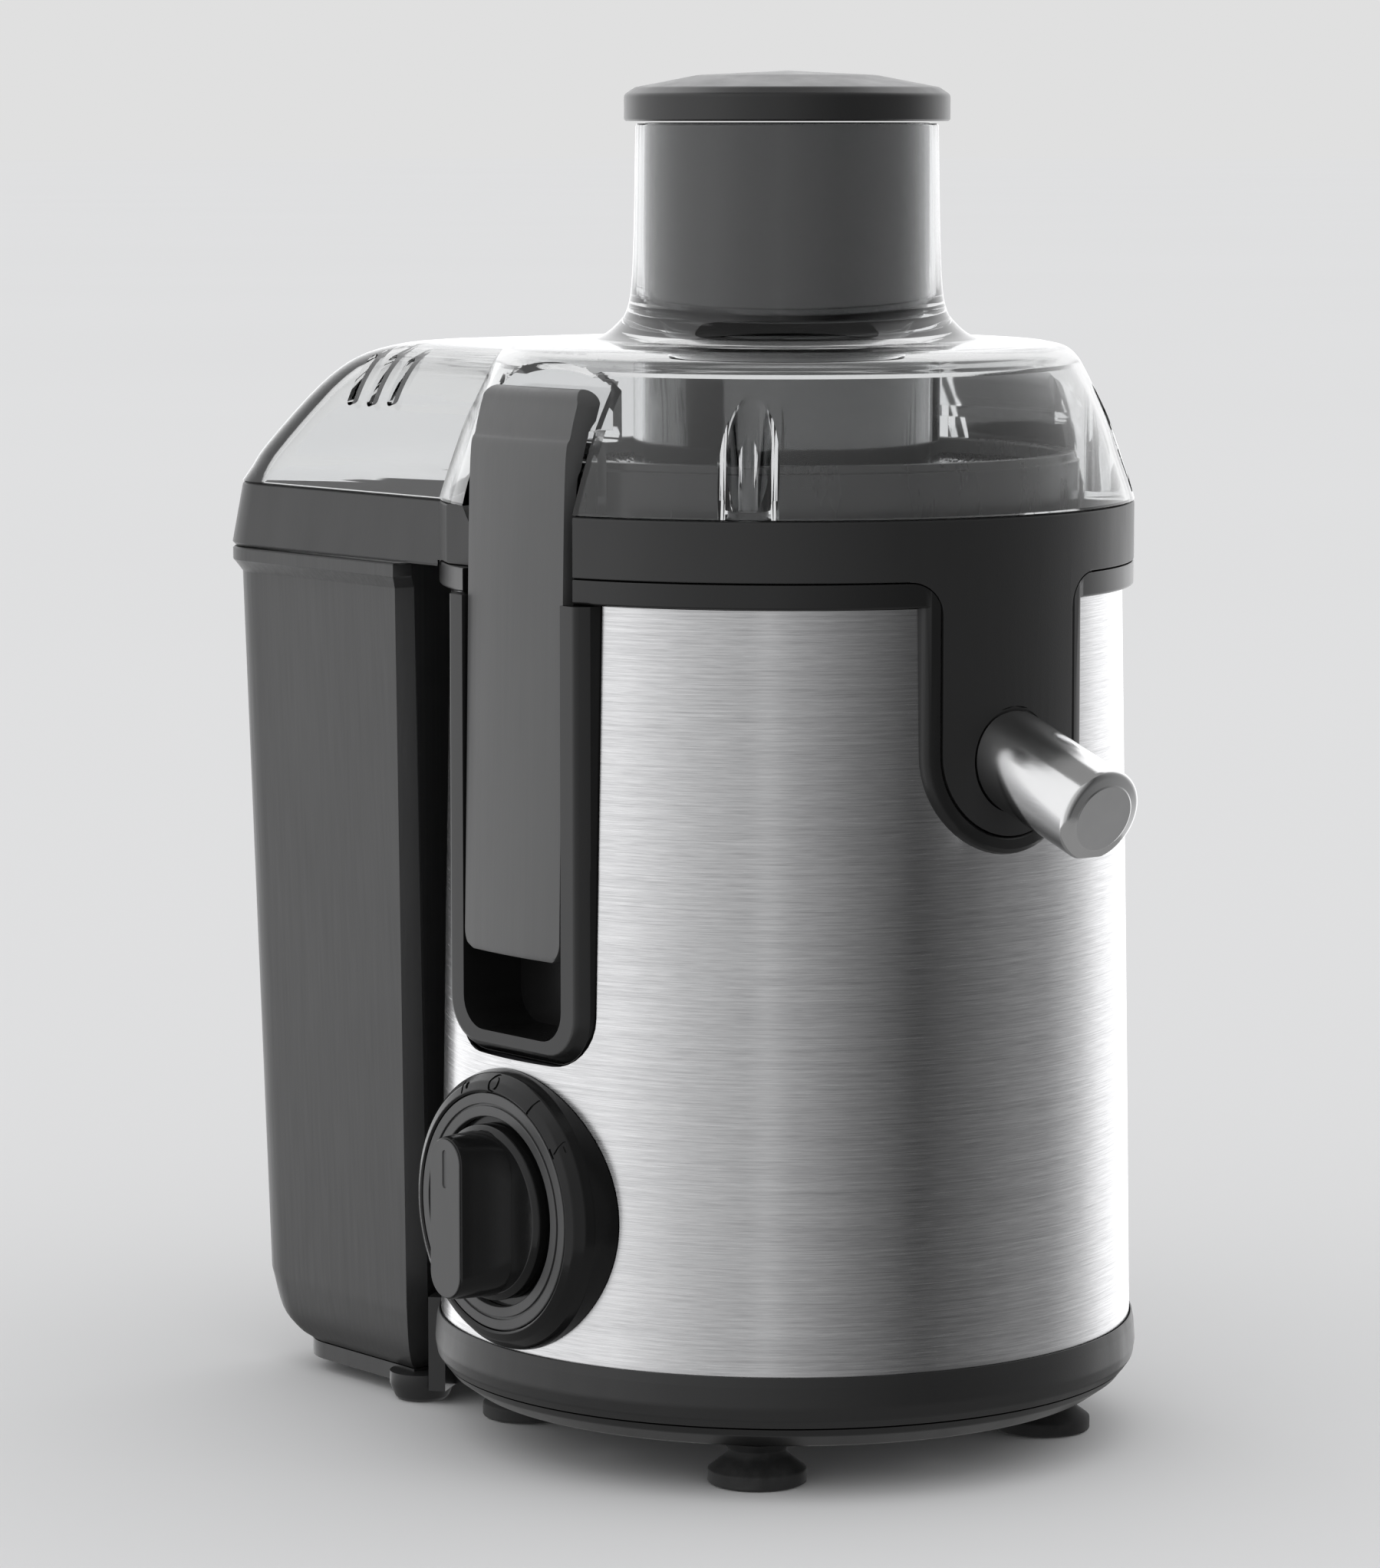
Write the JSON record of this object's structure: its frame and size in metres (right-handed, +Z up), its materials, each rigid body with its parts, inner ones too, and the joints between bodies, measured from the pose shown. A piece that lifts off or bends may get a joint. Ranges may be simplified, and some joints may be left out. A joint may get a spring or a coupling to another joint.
{
  "type": "centrifugal juicer",
  "caption": "Centrifugal juicer with a clear lid and feed tube, side clamp arms, a speed dial, a metal juice spout and a rear pulp container.",
  "frame": {"origin": "middle of the footprint of the whole object, on the worktop; the vertical drive axis is 10.0 mm towards +X and 15.40 mm towards -Y from it", "axes": "+Z up along the drive axis, -Y to the front where the spout is, -X to the side with the speed dial"},
  "size_m": [0.211, 0.2916, 0.3676],
  "materials": {
    "soft_dark_plastic": "fine satin moulded",
    "soft_grey_plastic": "fine satin moulded",
    "black_plastic": "semi-matte moulded",
    "gloss_black": "high gloss",
    "grey_trim": "satin",
    "brushed_steel": "horizontal brushing",
    "polished_steel": "polished",
    "bare_steel": "machined",
    "clear_plastic": "clear polished plastic",
    "rubber": "matte",
    "iron": "laminated, raw",
    "copper": "enamelled winding",
    "board": "coated",
    "carbon": "pressed carbon"
  },
  "bodies": {
    "machine": {"base_shell": "soft_dark_plastic", "base_plate": "black_plastic", "foot_front_left": "rubber", "foot_front_right": "rubber", "foot_rear_right": "rubber", "foot_rear_left": "rubber", "base_screw_front": "bare_steel", "base_screw_right": "bare_steel", "base_screw_rear": "bare_steel", "base_screw_left": "bare_steel", "container_cradle": "soft_dark_plastic", "cord_gland": "rubber", "steel_skin": "brushed_steel", "motor_housing": "black_plastic", "trim_ring_front": "black_plastic", "trim_ring_rear": "black_plastic", "clamp_channel_left": "black_plastic", "clamp_pin_left": "bare_steel", "clamp_channel_right": "black_plastic", "clamp_pin_right": "bare_steel", "stator_core": "iron", "field_coil_front": "copper", "field_coil_rear": "copper", "lower_motor_bracket": "iron", "upper_motor_bracket": "iron", "lower_bearing": "bare_steel", "upper_bearing": "bare_steel", "brush_holder_left": "black_plastic", "carbon_brush_left": "carbon", "motor_mount_left": "rubber", "brush_holder_right": "black_plastic", "carbon_brush_right": "carbon", "motor_mount_right": "rubber", "shaft_seal": "rubber", "control_board": "board", "safety_switch": "black_plastic", "rotary_switch": "black_plastic", "dial_bezel": "gloss_black", "dial_rings": "grey_trim", "juice_collector": "soft_dark_plastic", "spout_seal": "rubber", "lid": "clear_plastic"},
    "clamp_left": {"clamp_arm_left": "soft_grey_plastic"},
    "clamp_right": {"clamp_arm_right": "soft_grey_plastic"},
    "pusher": {"pusher_body": "black_plastic", "pusher_cap": "soft_dark_plastic"},
    "dial": {"dial_knob": "black_plastic", "knob_face": "grey_trim", "dial_shaft": "bare_steel"},
    "drive": {"motor_shaft": "bare_steel", "rotor_core": "iron", "commutator": "copper", "cooling_fan": "black_plastic", "drive_coupling": "grey_trim", "basket_base": "grey_trim", "filter_mesh": "polished_steel", "basket_rim": "grey_trim", "grater_disc": "polished_steel"},
    "spout": {"spout_tube": "polished_steel"},
    "container": {"pulp_container": "soft_dark_plastic"}
  },
  "joints": [
    {"name": "clamp_left_swing", "type": "hinge", "parent": "machine", "child": "clamp_left", "pos_m": [-0.0764, -0.0154, 0.16], "axis": [0, -1, 0], "range_deg": [0, 28]},
    {"name": "clamp_right_swing", "type": "hinge", "parent": "machine", "child": "clamp_right", "pos_m": [0.0964, -0.0154, 0.16], "axis": [0, 1, 0], "range_deg": [0, 28]},
    {"name": "pusher_lift", "type": "slide", "parent": "machine", "child": "pusher", "axis": [0, 0, 1], "range_m": [0, 0.116]},
    {"name": "dial_turn", "type": "hinge", "parent": "machine", "child": "dial", "pos_m": [-0.09, -0.0154, 0.07], "axis": [1, 0, 0], "range_deg": [-24, 50]},
    {"name": "drive_spin", "type": "hinge", "parent": "machine", "child": "drive", "pos_m": [0.01, -0.0154, 0.12], "axis": [0, 0, 1], "continuous": true},
    {"name": "spout_turn", "type": "hinge", "parent": "machine", "child": "spout", "pos_m": [0.01, -0.1429, 0.1787], "axis": [0, -0.9438, -0.3305], "range_deg": [0, 180]},
    {"name": "container_slide", "type": "slide", "parent": "machine", "child": "container", "axis": [0, 1, 0], "range_m": [0, 0.12]}
  ]
}
